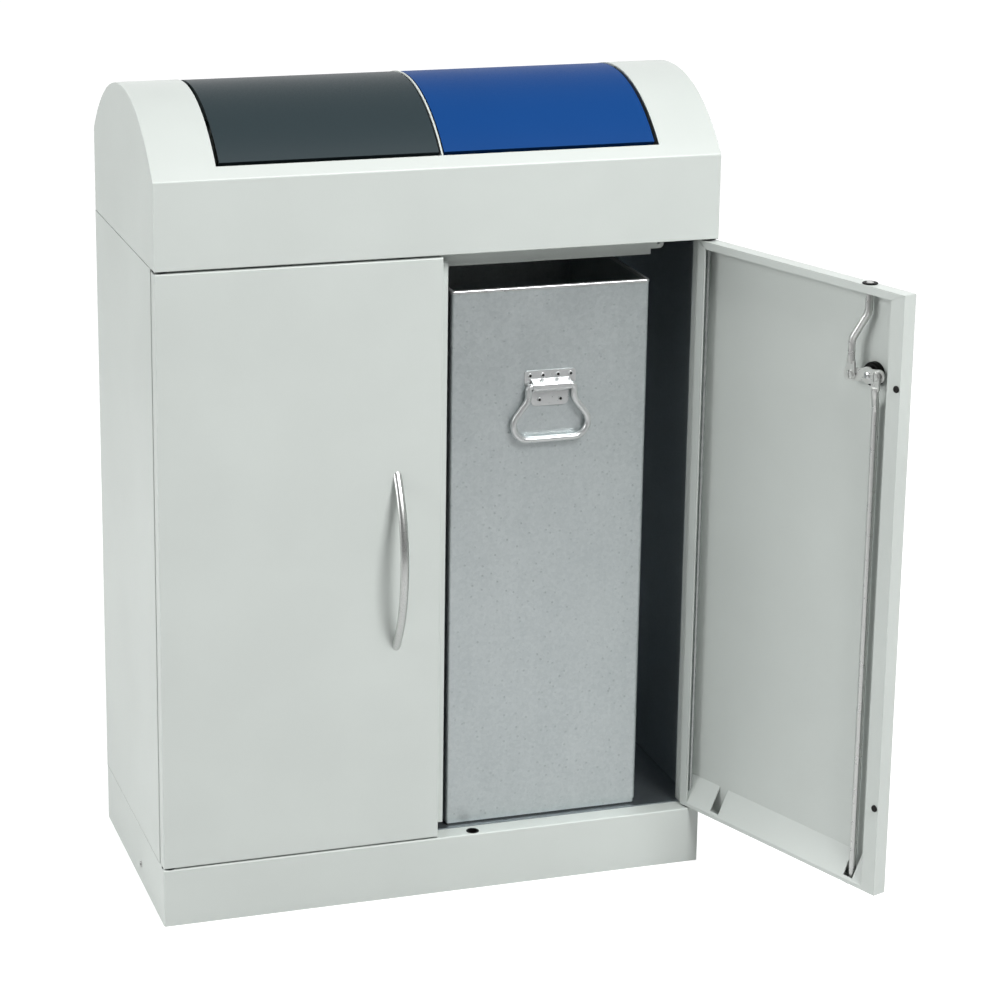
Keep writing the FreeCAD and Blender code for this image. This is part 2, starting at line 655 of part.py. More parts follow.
handle_screws = []
for z in screw_heights:
    seat = V(handle_x, front_y + sheet, z)
    head = round_bar(seat, seat + V(0, handle_screw_head, 0), handle_screw_head_radius)
    crown = edges_where(head, lambda p: near(p.y, front_y + sheet + handle_screw_head))
    head = head.makeChamfer(handle_screw_head / 2, crown)
    shank = round_bar(seat - V(0, sheet + handle_screw_depth - seat_clearance, 0), seat, handle_screw_radius)
    handle_screws.append(head.fuse(shank))
save("left_handle_screws", mirrored(group(handle_screws)))
save("right_handle_screws", opened(group(handle_screws)))

# Closing strip: a joggled strip on the left door's free edge that the right door closes against
lip_y = door_back_y + buffer_height + seat_clearance
strip_fixed = block(-door_free_x - strip_from_free_edge - strip_fixed_width,
                    -door_free_x - strip_from_free_edge, door_back_y, door_back_y + sheet,
                    door_bottom_z + top_lip, door_top_z - top_lip)
strip_step = block(-door_free_x - strip_from_free_edge - sheet, -door_free_x - strip_from_free_edge,
                   door_back_y, lip_y + sheet, door_bottom_z + top_lip, door_top_z - top_lip)
strip_lip = block(-door_free_x - strip_from_free_edge - sheet, strip_overlap, lip_y, lip_y + sheet,
                  door_bottom_z + top_lip, door_top_z - top_lip)
save("closing_strip", strip_fixed.fuse([strip_step, strip_lip]).removeSplitter())

# Buffers: rubber buttons on the right door's free flange
buffers = []
for z in (door_bottom_z + buffer_from_door_end, door_top_z - buffer_from_door_end):
    seat = V(door_free_x + buffer_from_free_edge, door_back_y, z)
    button = round_bar(seat, seat + V(0, buffer_height, 0), buffer_radius)
    crown = edges_where(button, lambda p: near(p.y, door_back_y + buffer_height))
    buffers.append(button.makeChamfer(buffer_height / 3, crown))
save("door_buffers", opened(group(buffers)))

# Lock body: a black sleeve through the door's face with a bezel outside, and its nut inside
lock_front = V(lock_x, front_y, lock_z)
inward = V(0, 1, 0)
lock_bezel_ring = round_bar(lock_front - inward * lock_bezel, lock_front, lock_bezel_radius)
bezel_edge = edges_where(lock_bezel_ring, lambda p: near(p.y, front_y - lock_bezel))
lock_bezel_ring = lock_bezel_ring.makeChamfer(lock_bezel / 2, bezel_edge)
lock_sleeve = round_bar(lock_front, lock_front + inward * lock_body_depth, lock_body_radius)
plug_bore = round_bar(lock_front - inward * 2 * lock_bezel, lock_front + inward * 2 * lock_body_depth,
                      plug_radius + running_clearance)
save("lock_body", opened(lock_sleeve.fuse(lock_bezel_ring).cut(plug_bore).removeSplitter()))

lock_nut = round_bar(lock_front + inward * sheet, lock_front + inward * (sheet + lock_nut_height), lock_nut_radius)
nut_rim = edges_where(lock_nut, lambda p: near(p.y, front_y + sheet + lock_nut_height))
lock_nut = lock_nut.makeFillet(lock_nut_round, nut_rim)
lock_nut = lock_nut.cut(round_bar(lock_front, lock_front + inward * 2 * lock_body_depth,
                                  lock_body_radius + running_clearance))
save("lock_nut", opened(lock_nut))

# Plug: the key barrel that turns in the lock body, squared at its inner end to drive the cam
plug = round_bar(lock_front - inward * (lock_bezel + plug_face_proud), lock_front + inward * lock_body_depth,
                 plug_radius)
plug_shaft = block(lock_x - plug_square / 2, lock_x + plug_square / 2, front_y + lock_body_depth,
                   front_y + cam_depth + cam_sheet, lock_z - plug_square / 2, lock_z + plug_square / 2)
key_slot = block(lock_x - key_slot_width / 2, lock_x + key_slot_width / 2,
                 front_y - 2 * lock_bezel, front_y - lock_bezel - plug_face_proud + key_slot_depth,
                 lock_z - key_slot_length / 2, lock_z + key_slot_length / 2)
save("lock_plug", opened(plug.fuse(plug_shaft).cut(key_slot).removeSplitter()))

# Cam: a plate with a slotted arm each side, drawn level and then tilted to its rest place.
# Each slot is long enough for the rod pin's run along the arm as the cam turns.
widest_turn = math.radians(max(cam_rest_tilt, cam_turn - cam_rest_tilt))


def cam_arm(reach, way):
    far = reach / math.cos(widest_turn)
    half_slot = rod_pin_radius + cam_slot_play
    near_end = V(lock_x + way * (reach - cam_slot_play), front_y + cam_depth, lock_z)
    far_end = V(lock_x + way * (far + cam_slot_play), front_y + cam_depth, lock_z)
    through = V(0, cam_sheet, 0)
    plate = block(min(lock_x, far_end.x), max(lock_x, far_end.x), front_y + cam_depth,
                  front_y + cam_depth + cam_sheet, lock_z - cam_arm_width / 2, lock_z + cam_arm_width / 2)
    tip = round_bar(far_end, far_end + through, cam_arm_width / 2)
    slot = block(min(near_end.x, far_end.x), max(near_end.x, far_end.x), front_y + cam_depth,
                 front_y + cam_depth + cam_sheet, lock_z - half_slot, lock_z + half_slot)
    slot = slot.fuse([round_bar(p, p + through, half_slot) for p in (near_end, far_end)])
    return plate.fuse(tip), slot


upper_arm, upper_slot = cam_arm(upper_rod_pin_reach, 1)
lower_arm, lower_slot = cam_arm(lower_rod_pin_reach, -1)
cam_face = V(lock_x, front_y + cam_depth, lock_z)
cam_hub = round_bar(cam_face, cam_face + inward * cam_sheet, cam_hub_radius)
square_hole = block(lock_x - plug_square / 2, lock_x + plug_square / 2, front_y + cam_depth,
                    front_y + cam_depth + cam_sheet, lock_z - plug_square / 2, lock_z + plug_square / 2)
lock_cam = cam_hub.fuse([upper_arm, lower_arm]).cut([upper_slot, lower_slot]).removeSplitter()
lock_cam.rotate(cam_face, inward, cam_rest_tilt)
save("lock_cam", opened(lock_cam.cut(square_hole)))

cam_screw_seat = V(lock_x, front_y + cam_depth + cam_sheet, lock_z)
cam_screw = round_bar(cam_screw_seat, cam_screw_seat + inward * cam_screw_head, cam_screw_radius)
screw_crown = edges_where(cam_screw, lambda p: near(p.y, cam_screw_seat.y + cam_screw_head))
save("cam_screw", opened(cam_screw.makeChamfer(cam_screw_head / 3, screw_crown)))

# Lock rods: each has a straight run, a jog to its cam arm and a flattened end with a slotted pin.
# The pin runs in the arm's slot, and the flat end lies in front of the arm.
rest_slope = math.tan(math.radians(cam_rest_tilt))
pad_back_y = front_y + cam_depth + cam_sheet + seat_clearance
pad_y = pad_back_y + rod_pad_sheet / 2


def lock_rod(x, tip_z, jog_far_z, jog_near_z, pin, way):
    """A rod that leads away from its pin upwards (way 1) or downwards (way -1)."""
    through = V(0, rod_pad_sheet, 0)
    pad_end = pin.z + way * rod_pad_length
    run = swept_rod([V(x, rod_y, tip_z), V(x, rod_y, jog_far_z), V(pin.x, pad_y, jog_near_z),
                     V(pin.x, pad_y, pad_end - way * rod_pad_overlap)], (rod_bend, rod_bend), rod_radius)
    eye = V(pin.x, pad_back_y, pin.z)
    pad = block(pin.x - rod_pad_half_width, pin.x + rod_pad_half_width, pad_back_y, pad_back_y + rod_pad_sheet,
                min(pin.z, pad_end), max(pin.z, pad_end))
    corners = [e for e in edges_where(pad, lambda p: near(p.z, pad_end)) if near(e.Length, rod_pad_sheet)]
    pad = pad.makeFillet(rod_pad_half_width / 2, corners).fuse(round_bar(eye, eye + through, rod_pad_half_width))
    shank = round_bar(V(pin.x, front_y + cam_depth - rod_pin_past_cam, pin.z), eye, rod_pin_radius)
    head = round_bar(eye + through, eye + through + V(0, rod_head, 0), rod_head_radius)
    crown = edges_where(head, lambda p: near(p.y, eye.y + rod_pad_sheet + rod_head))
    slot = block(pin.x - rod_head_slot / 2, pin.x + rod_head_slot / 2, eye.y + rod_pad_sheet + rod_head / 2,
                 eye.y + rod_pad_sheet + 2 * rod_head, pin.z - 2 * rod_head_radius, pin.z + 2 * rod_head_radius)
    head = head.makeChamfer(rod_head / 4, crown).cut(slot)
    return run.fuse([pad, shank, head]).removeSplitter()


upper_pin = V(lock_x + upper_rod_pin_reach, rod_y, lock_z - upper_rod_pin_reach * rest_slope)
upper_tip_z = door_top_z + upper_rod_proud
upper_jog_z = lock_z + upper_jog_above_lock
upper_rod = lock_rod(upper_rod_x, upper_tip_z, upper_jog_z + upper_jog_height, upper_jog_z, upper_pin, 1)
save("upper_rod", opened(upper_rod))

lower_pin = V(lock_x - lower_rod_pin_reach, rod_y, lock_z + lower_rod_pin_reach * rest_slope)
lower_tip_z = door_bottom_z + lower_rod_tip_above_door
lower_jog_z = lock_z - lower_jog_below_lock
lower_rod = lock_rod(lower_rod_x, lower_tip_z, lower_jog_z - lower_jog_height, lower_jog_z, lower_pin, -1)
save("lower_rod", opened(lower_rod))


# Rod guides: flanged black rings in the door's top and bottom edges, and one in the sill
def guide_ring(x, seat_z, up, body_height, flange, bore_radius, body_radius, flange_radius):
    seat = V(x, rod_y, seat_z)
    body = round_bar(seat - V(0, 0, up * body_height), seat, body_radius)
    ring = round_bar(seat, seat + V(0, 0, up * flange), flange_radius)
    bore = round_bar(seat - V(0, 0, up * 2 * body_height), seat + V(0, 0, up * 2 * body_height), bore_radius)
    return body.fuse(ring).cut(bore).removeSplitter()


top_guide = guide_ring(upper_rod_x, door_top_z, 1, grommet_height, guide_flange,
                       rod_radius + running_clearance, guide_radius, rod_radius + guide_flange_wall)
bottom_guide = guide_ring(lower_rod_x, door_bottom_z, -1, grommet_height, grommet_flange,
                          rod_radius + running_clearance, guide_radius, rod_radius + guide_flange_wall)
sill_bush = guide_ring(lower_rod_x, plinth_height, 1, grommet_height, sill_bush_flange,
                       rod_radius + strike_clearance, sill_bush_radius - running_clearance,
                       rod_radius + strike_clearance + sill_bush_flange_wall)
save("top_rod_guide", opened(top_guide))
save("bottom_rod_guide", opened(bottom_guide))
save("sill_bush", sill_bush)

# Bins: a folded shell with its bottom, a rolled rim on top and a base ring below
bin_x0 = bin_centre_x - bin_wall_width / 2
bin_x1 = bin_centre_x + bin_wall_width / 2
bin_y1 = bin_front_y + bin_depth
bin_floor_z = bin_bottom_z + bin_base_height
bin_rim_z = bin_top_z - bin_rim_height
barrel_radius_outside = bail_radius + running_clearance + barrel_wall
barrel_y = bin_front_y - sheet - barrel_radius_outside
rivet_places = [(bin_centre_x + x, barrel_z + z) for z, row in rivet_rows for x in row]
rivet_holes = [round_bar(V(x, bin_front_y - 2 * sheet, z), V(x, bin_front_y + 2 * sheet, z),
                         rivet_radius + running_clearance) for x, z in rivet_places]


def bin_slab(out, z0, z1):
    return rounded_slab(bin_x0 - out, bin_x1 + out, bin_front_y - out, bin_y1 + out, z0, z1,
                        bin_corner_radius + out)


bin_hollow = bin_slab(-sheet, bin_floor_z + sheet, bin_top_z)
bin_shell = bin_slab(0, bin_floor_z, bin_rim_z).cut([bin_hollow] + rivet_holes)
bin_rim = bin_slab(bin_rim_out, bin_rim_z, bin_top_z)
rim_edges = edges_where(bin_rim, lambda p: near(p.z, bin_top_z))
rim_mouth = bin_slab(-sheet - bin_rim_in, bin_floor_z, 2 * bin_top_z)
bin_rim = bin_rim.makeFillet(bin_rim_round, rim_edges).cut(rim_mouth)
bin_base = bin_slab(-bin_base_inset, bin_bottom_z, bin_floor_z)
bin_base = bin_base.cut(block(bin_x0 + bin_base_width, bin_x1 - bin_base_width, bin_front_y + bin_base_width,
                              bin_y1 - bin_base_width, 0, bin_floor_z + sheet))

# Handle plate: riveted to the bin's front, with a pressed barrel that holds the bail.
# Its lower tab is narrower, to clear the bail's legs.
plate_face_y = bin_front_y - sheet
plate = block(bin_centre_x - plate_width / 2, bin_centre_x + plate_width / 2, plate_face_y, bin_front_y,
              barrel_z, barrel_z + plate_top_above_barrel)
plate = plate.makeFillet(plate_corner, [e for e in plate.Edges if near(e.Length, sheet)])
tab_z = barrel_z - plate_bottom_below_barrel
tab = block(bin_centre_x - plate_tab_width / 2, bin_centre_x + plate_tab_width / 2, plate_face_y, bin_front_y,
            tab_z, barrel_z + plate_corner)
tab_corners = [e for e in edges_where(tab, lambda p: near(p.z, tab_z)) if near(e.Length, sheet)]
tab = tab.makeFillet(plate_tab_corner, tab_corners)
barrel_start = V(bin_centre_x - barrel_length / 2, barrel_y, barrel_z)
barrel_end = V(bin_centre_x + barrel_length / 2, barrel_y, barrel_z)
crown_y = barrel_y - barrel_radius_outside
barrel_ridge = prism_x(((plate_face_y, barrel_z + barrel_foot / 2), (crown_y, barrel_z + barrel_crown / 2),
                        (crown_y, barrel_z - barrel_crown / 2), (plate_face_y, barrel_z - barrel_foot / 2)),
                       barrel_start.x, barrel_end.x)
crown_edges = [e for e in edges_where(barrel_ridge, lambda p: near(p.y, crown_y)) if near(e.Length, barrel_length)]
barrel_ridge = barrel_ridge.makeFillet(barrel_round, crown_edges)
barrel_bore = round_bar(barrel_start, barrel_end, bail_radius + running_clearance)
handle_plate = plate.fuse([tab, barrel_ridge]).cut([barrel_bore] + rivet_holes).removeSplitter()

# Rivets: a low head on the plate, a shank and a flat head inside the bin
rivets = []
for x, z in rivet_places:
    front = V(x, bin_front_y - sheet, z)
    rear = V(x, bin_front_y + sheet, z)
    head = round_bar(front - V(0, rivet_head, 0), front, rivet_head_radius)
    crown = edges_where(head, lambda p: near(p.y, bin_front_y - sheet - rivet_head))
    head = head.makeChamfer(rivet_head / 2, crown)
    tail = round_bar(rear, rear + V(0, rivet_head / 2, 0), rivet_head_radius)
    rivets.append(head.fuse([round_bar(front, rear, rivet_radius), tail]).removeSplitter())


# Bail: one round wire through the barrel, bent to a wide drop ring
def bail():
    def at(along, drop):
        return V(bin_centre_x + along, barrel_y, barrel_z - drop)

    half = [(bail_shoulder, 0), (bail_shoulder, bail_leg_drop), (bail_half_width, bail_wide_drop),
            (bail_bottom_half, bail_drop)]
    corners = [at(x, drop) for x, drop in half] + [at(-x, drop) for x, drop in reversed(half)]
    bends = [bail_shoulder_bend] + [bail_bend] * (len(corners) - 2) + [bail_shoulder_bend]
    return swept_rod([at(0, 0)] + corners + [at(0, 0)], bends, bail_radius)


bin_pieces = (("bin_shell", bin_shell), ("bin_rim", bin_rim), ("bin_base", bin_base),
              ("handle_plate", handle_plate), ("plate_rivets", group(rivets)), ("bail", bail()))
for name, piece in bin_pieces:
    save("right_" + name, piece)
    save("left_" + name, mirrored(piece))
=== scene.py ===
import json
import math

import bmesh
import bpy
from mathutils import Matrix, Vector


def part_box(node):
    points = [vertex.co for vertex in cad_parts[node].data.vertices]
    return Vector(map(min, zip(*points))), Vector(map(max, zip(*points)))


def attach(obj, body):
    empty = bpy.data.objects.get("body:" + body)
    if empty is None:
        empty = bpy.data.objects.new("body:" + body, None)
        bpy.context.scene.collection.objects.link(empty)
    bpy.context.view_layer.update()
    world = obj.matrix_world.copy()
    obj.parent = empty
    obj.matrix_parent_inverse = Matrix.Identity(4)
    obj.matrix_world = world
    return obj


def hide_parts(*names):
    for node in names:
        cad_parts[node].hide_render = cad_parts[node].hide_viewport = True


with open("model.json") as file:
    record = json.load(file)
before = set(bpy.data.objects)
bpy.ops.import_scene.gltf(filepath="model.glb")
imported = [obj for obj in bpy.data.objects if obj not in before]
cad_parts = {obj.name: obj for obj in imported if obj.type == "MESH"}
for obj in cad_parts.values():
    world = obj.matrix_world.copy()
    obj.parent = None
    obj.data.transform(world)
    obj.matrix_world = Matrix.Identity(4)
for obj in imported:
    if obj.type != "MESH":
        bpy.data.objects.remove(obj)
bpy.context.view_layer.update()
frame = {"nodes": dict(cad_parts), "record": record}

# Plinth: a folded box of 1.5 mm sheet steel that the whole station stands on.
# It is welded at its corners and powder coated light grey, as the rest of the cabinet is.
# The coat has a fine orange peel, and the wide sheets under it are never quite flat.
cabinet_grey = (0.534, 0.570, 0.546)
coat_relief = 0.0002
coat_grain_height = 0.08
# side_face, plinth_joint, hood_joint and joint_shade lay thin bands of painted shadow where the side panels
# meet the plinth and the hood.
side_face = 0.3597
plinth_joint = (0.0753, 0.0768)
hood_joint = (0.8456, 0.8466)
joint_shade = 0.30


def feed(socket, given):
    """Links a socket to another node's output, or sets it to a plain number or colour."""
    if isinstance(given, bpy.types.NodeSocket):
        socket.id_data.links.new(given, socket)
    elif isinstance(given, tuple):
        socket.default_value = (*given, 1.0)
    else:
        socket.default_value = given


def noise(place, scale, detail, rough=0.5):
    node = place.id_data.nodes.new("ShaderNodeTexNoise")
    for name, given in (("Vector", place), ("Scale", scale), ("Detail", detail), ("Roughness", rough)):
        feed(node.inputs[name], given)
    return node.outputs["Fac"]


def spread(value, low, high, start=0.3, end=0.7):
    """Goes from low to high while a value goes from start to end, and stays there beyond."""
    node = value.id_data.nodes.new("ShaderNodeMapRange")
    names = ("Value", "To Min", "To Max", "From Min", "From Max")
    for name, given in zip(names, (value, low, high, start, end)):
        feed(node.inputs[name], given)
    return node.outputs["Result"]


def sums(kind, first, second=0.0):
    node = first.id_data.nodes.new("ShaderNodeMath")
    node.operation = kind
    feed(node.inputs[0], first)
    feed(node.inputs[1], second)
    return node.outputs["Value"]


def scaled(colour, share):
    node = colour.id_data.nodes.new("ShaderNodeVectorMath")
    node.operation = "SCALE"
    feed(node.inputs[0], colour)
    feed(node.inputs["Scale"], share)
    return node.outputs["Vector"]


def axes_of(place):
    node = place.id_data.nodes.new("ShaderNodeSeparateXYZ")
    feed(node.inputs["Vector"], place)
    return node.outputs


def between(value, low, high):
    return sums("MULTIPLY", sums("GREATER_THAN", value, low), sums("LESS_THAN", value, high))


def new_group(name, inputs, outputs):
    """A node group with the named sockets: a place on the piece, colours and plain values."""
    kinds = {"Place": "NodeSocketVector", "Colour": "NodeSocketColor", "Dark": "NodeSocketColor",
             "Light": "NodeSocketColor"}
    group = bpy.data.node_groups.new(name, "ShaderNodeTree")
    for way, labels in (("INPUT", inputs), ("OUTPUT", outputs)):
        for label in labels:
            group.interface.new_socket(label, in_out=way, socket_type=kinds.get(label, "NodeSocketFloat"))
    start = group.nodes.new("NodeGroupInput")
    end = group.nodes.new("NodeGroupOutput")
    return group, start.outputs, end.inputs


coat_skin, given, made = new_group(
    "powder_coat_skin", ("Place", "Colour", "Roughness", "Peel", "Wave"), ("Colour", "Roughness", "Height"))
drift = noise(given["Place"], scale=6.0, detail=3.0)
peel = noise(given["Place"], scale=620.0, detail=2.0)
grain = noise(given["Place"], scale=2600.0, detail=1.0)
wave = noise(given["Place"], scale=5.0, detail=1.0)
tint = sums("ADD", spread(drift, low=0.972, high=1.022), spread(grain, low=-0.02, high=0.02))
feed(made["Colour"], scaled(given["Colour"], tint))
feed(made["Roughness"], sums("ADD", given["Roughness"], spread(peel, low=-0.05, high=0.05)))
height = sums("ADD", sums("MULTIPLY", peel, given["Peel"]), sums("MULTIPLY", grain, coat_grain_height))
feed(made["Height"], sums("ADD", height, sums("MULTIPLY", wave, given["Wave"])))

# Painted shadow: the coat is darkened in thin bands on the outer sides, where the side panels meet the
# plinth and the hood.
joint_shadow_line, given, made = new_group("joint_shadow_line", ("Place", "Colour"), ("Colour",))
axes = axes_of(given["Place"])
outside = sums("GREATER_THAN", sums("ABSOLUTE", axes["X"]), side_face)
joints = sums("ADD", between(axes["Z"], *plinth_joint), between(axes["Z"], *hood_joint))
kept = spread(sums("MULTIPLY", outside, joints), low=1.0, high=joint_shade, start=0.0, end=1.0)
feed(made["Colour"], scaled(given["Colour"], kept))


def new_material(name):
    material = bpy.data.materials.new(name)
    material.use_nodes = True
    material.node_tree.nodes.new("ShaderNodeTexCoord").name = "Place"
    return material


def inside_of(material):
    """A material's shader, and the place on the piece that its patterns are laid by."""
    nodes = material.node_tree.nodes
    return nodes["Principled BSDF"], nodes["Place"].outputs["Object"]


def use_group(group, place, **values):
    """Sets a node group into the material that a place belongs to, with that material's own values."""
    node = place.id_data.nodes.new("ShaderNodeGroup")
    node.node_tree = group
    feed(node.inputs["Place"], place)
    for name, value in values.items():
        feed(node.inputs[name], value)
    return node.outputs


def clad(shader, colour, roughness, height, relief):
    """Leads a surface's colour, roughness and height to its shader. The relief is in metres."""
    bump = shader.id_data.nodes.new("ShaderNodeBump")
    feed(bump.inputs["Distance"], relief)
    feed(bump.inputs["Height"], height)
    feed(shader.inputs["Base Color"], colour)
    feed(shader.inputs["Roughness"], roughness)
    feed(shader.inputs["Normal"], bump.outputs["Normal"])


def surface(name, skin, relief, metal=0.0, gloss=0.5, **values):
    """A material that wears one of the skins, with the skin's values and the shader's own."""
    material = new_material(name)
    shader, place = inside_of(material)
    worn = use_group(skin, place, **values)
    clad(shader, worn["Colour"], worn["Roughness"], worn["Height"], relief)
    shader.inputs["Metallic"].default_value = metal
    shader.inputs["Specular IOR Level"].default_value = gloss
    return material


def add_joint_shadows(material):
    """Paints the shadow of the gaps where the cabinet's sheets meet into a coat, as thin dark lines."""
    shader, place = inside_of(material)
    coat = shader.inputs["Base Color"].links[0].from_socket
    feed(shader.inputs["Base Color"], use_group(joint_shadow_line, place, Colour=coat)["Colour"])


def dress(material, *names):
    for name in names:
        for slot in frame["nodes"][name].material_slots:
            slot.material = material


grey_coat = {"Colour": cabinet_grey, "Roughness": 0.40, "Peel": 0.35, "Wave": 1.0}
# This coat carries the painted joint shadows.
grey_with_joint_shadows = surface("cabinet_grey_coat_with_joint_shadows", coat_skin, coat_relief, **grey_coat)
add_joint_shadows(grey_with_joint_shadows)
dress(grey_with_joint_shadows, "plinth")

# Plinth screws: one button-head screw low in each side, which holds the plinth to the cabinet's floor.
# They are turned steel, zinc plated, with a hex socket in the head.
plinth_screw_head = 0.0016
plinth_screw_socket = 0.45


def mixed(share, first, second):
    node = share.id_data.nodes.new("ShaderNodeMix")
    node.data_type = "RGBA"
    for name, given in (("Factor", share), ("A", first), ("B", second)):
        feed(node.inputs[name], given)
    return node.outputs["Result"]


mottled_skin, given, made = new_group(
    "mottled_skin", ("Place", "Dark", "Light", "Scale", "Smooth", "Dull"), ("Colour", "Roughness", "Height"))
bloom = noise(given["Place"], given["Scale"], detail=4.0, rough=0.6)
feed(made["Colour"], mixed(spread(bloom, low=0.0, high=1.0), given["Dark"], given["Light"]))
feed(made["Roughness"], spread(bloom, given["Smooth"], given["Dull"]))
feed(made["Height"], noise(given["Place"], scale=1500.0, detail=2.0))

zinc = surface("zinc_plating", mottled_skin, relief=0.000004, metal=0.85, Dark=(0.62, 0.63, 0.62),
               Light=(0.68, 0.69, 0.67), Scale=140.0, Smooth=0.26, Dull=0.34)
# Painted shade: the floors of the hex sockets and of the rivets' mandrel holes wear this near-black
# material.
painted_recess_shade = surface("painted_recess_shade", mottled_skin, relief=0.00003, Dark=(0.006, 0.006, 0.006),
                       Light=(0.014, 0.013, 0.012), Scale=300.0, Smooth=0.7, Dull=0.9)
near = 0.00001


def turned(bm, profile, closed=False, steps=28):
    """Spins a profile of (radius, height) points about Z, and gives the new vertices."""
    known = set(bm.verts)
    points = [bm.verts.new((radius, 0.0, height)) for radius, height in profile]
    edges = [bm.edges.new(pair) for pair in zip(points, points[1:])]
    if closed:
        edges.append(bm.edges.new((points[-1], points[0])))
    bmesh.ops.spin(bm, geom=points + edges, cent=(0.0, 0.0, 0.0), axis=(0.0, 0.0, 1.0),
                   angle=2.0 * math.pi, steps=steps, use_merge=True)
    fresh = [v for v in bm.verts if v not in known]
    bmesh.ops.remove_doubles(bm, verts=fresh, dist=near)
    return [v for v in bm.verts if v not in known]


def edges_at(verts):
    return list(dict.fromkeys(e for v in verts for e in v.link_edges))


def ring_edges(verts, height, radius):
    """The edges of a turned shape that lie on one circle."""
    ring = {v for v in verts if abs(v.co.z - height) < near and abs(v.co.xy.length - radius) < near}
    return [e for e in edges_at(verts) if all(v in ring for v in e.verts)]


def socket_screw(bm, place, radius, height, socket):
    """A button head that stands on its place's XY plane, with a hex socket in its crown."""
    known = set(bm.verts)
    crown = 0.68 * radius
    sunk_by = 0.7 * height
    profile = [(radius, 0.0), (radius, 0.35 * height), (0.93 * radius, 0.72 * height), (crown, height)]
    head = turned(bm, profile)
    bmesh.ops.edgeloop_fill(bm, edges=ring_edges(head, 0.0, radius), mat_nr=0)
    hexagon = bmesh.ops.create_circle(bm, cap_ends=False, segments=6, radius=socket * radius,
                                      matrix=Matrix.Translation((0.0, 0.0, height)))["verts"]
    rim = edges_at(hexagon)
    bmesh.ops.bridge_loops(bm, edges=ring_edges(head, height, crown) + rim)
    well = bmesh.ops.extrude_edge_only(bm, edges=rim)["geom"]
    sunk = [g for g in well if isinstance(g, bmesh.types.BMVert)]
    bmesh.ops.translate(bm, verts=sunk, vec=(0.0, 0.0, -sunk_by))
    bottom = [e for e in edges_at(sunk) if all(v in sunk for v in e.verts)]
    # The socket's floor takes the second material, painted near-black as shade.
    bmesh.ops.edgeloop_fill(bm, edges=bottom, mat_nr=1)
    bmesh.ops.transform(bm, matrix=place, verts=[v for v in bm.verts if v not in known])


def facing(at, outward):
    """A place at a point, with Z along the way that a piece points."""
    return Matrix.Translation(at) @ Vector(outward).to_track_quat("Z", "Y").to_matrix().to_4x4()


def finished(name, bm, materials, body, slot, *stands_for):
    """Makes a modelled piece an object that moves with its body and stands for its CAD nodes."""
    sharpest_smooth = math.radians(38.0)
    bmesh.ops.recalc_face_normals(bm, faces=bm.faces)
    mesh = bpy.data.meshes.new(name)
    bm.to_mesh(mesh)
    bm.free()
    for material in materials:
        mesh.materials.append(material)
    mesh.shade_smooth()
    mesh.set_sharp_from_angle(angle=sharpest_smooth)
    piece = bpy.data.objects.new(name, mesh)
    bpy.context.collection.objects.link(piece)
    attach(piece, body)
    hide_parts(*stands_for)


low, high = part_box("plinth_screws")
middle = (low + high) / 2.0
plinth_screw_radius = (high.z - low.z) / 2.0
bm = bmesh.new()
for side, reach in ((-1.0, low.x), (1.0, high.x)):
    seat = facing((reach - side * plinth_screw_head, middle.y, middle.z), (side, 0.0, 0.0))
    socket_screw(bm, seat, plinth_screw_radius, plinth_screw_head, plinth_screw_socket)
finished("plinth_screw_heads", bm, [zinc, painted_recess_shade], "cabinet", "zinc_plate", "plinth_screws")

# Floor: a sheet on the plinth that the bins stand on, left as bare galvanised steel.
# The zinc shows small soft crystals, cloudy tone, faint rolling streaks and a few raised specks of
# dross, as on the bins. Its colour is set darker than the other bare sheets, as painted shade on the floor
# under the hood and the bins.
shaded_floor_zinc = {"Dark": (0.25, 0.285, 0.305), "Light": (0.325, 0.36, 0.38)}
bare_metal = 0.9
sheet_relief = 0.00004
dross_height = 8.5


def cells(place, scale):
    node = place.id_data.nodes.new("ShaderNodeTexVoronoi")
    feed(node.inputs["Vector"], place)
    feed(node.inputs["Scale"], scale)
    return node.outputs


def drawn_out(place, pace):
    """A place that runs at a slower pace along Z, so that a pattern on it is drawn out that way."""
    node = place.id_data.nodes.new("ShaderNodeMapping")
    node.inputs["Scale"].default_value = (1.0, 1.0, pace)
    feed(node.inputs["Vector"], place)
    return node.outputs["Vector"]


zinc_sheet, given, made = new_group(
    "zinc_sheet_skin", ("Place", "Dark", "Light"), ("Colour", "Roughness", "Height"))
crystals = axes_of(cells(given["Place"], scale=240.0)["Color"])["X"]
clouds = noise(given["Place"], scale=9.0, detail=5.0, rough=0.55)
specks = noise(given["Place"], scale=420.0, detail=3.0, rough=0.65)
streaks = noise(drawn_out(given["Place"], pace=0.03), scale=70.0, detail=3.0, rough=0.6)
dross = spread(cells(given["Place"], scale=100.0)["Distance"], low=1.0, high=0.0, start=0.05, end=0.19)
layers = ((crystals, 0.16), (clouds, 0.30), (specks, 0.40), (streaks, 0.14), (dross, -0.30))
tone = sums("MULTIPLY", *layers[0])
for layer, share in layers[1:]:
    tone = sums("ADD", tone, sums("MULTIPLY", layer, share))
feed(made["Colour"], mixed(spread(tone, low=0.0, high=1.0), given["Dark"], given["Light"]))
feed(made["Roughness"], spread(tone, low=0.31, high=0.45))
feed(made["Height"], sums("ADD", specks, sums("MULTIPLY", dross, dross_height)))

# The floor's darker zinc is painted shade.
floor_sheet = surface("bare_floor_sheet", zinc_sheet, sheet_relief, metal=bare_metal, **shaded_floor_zinc)
dress(floor_sheet, "floor_panel")

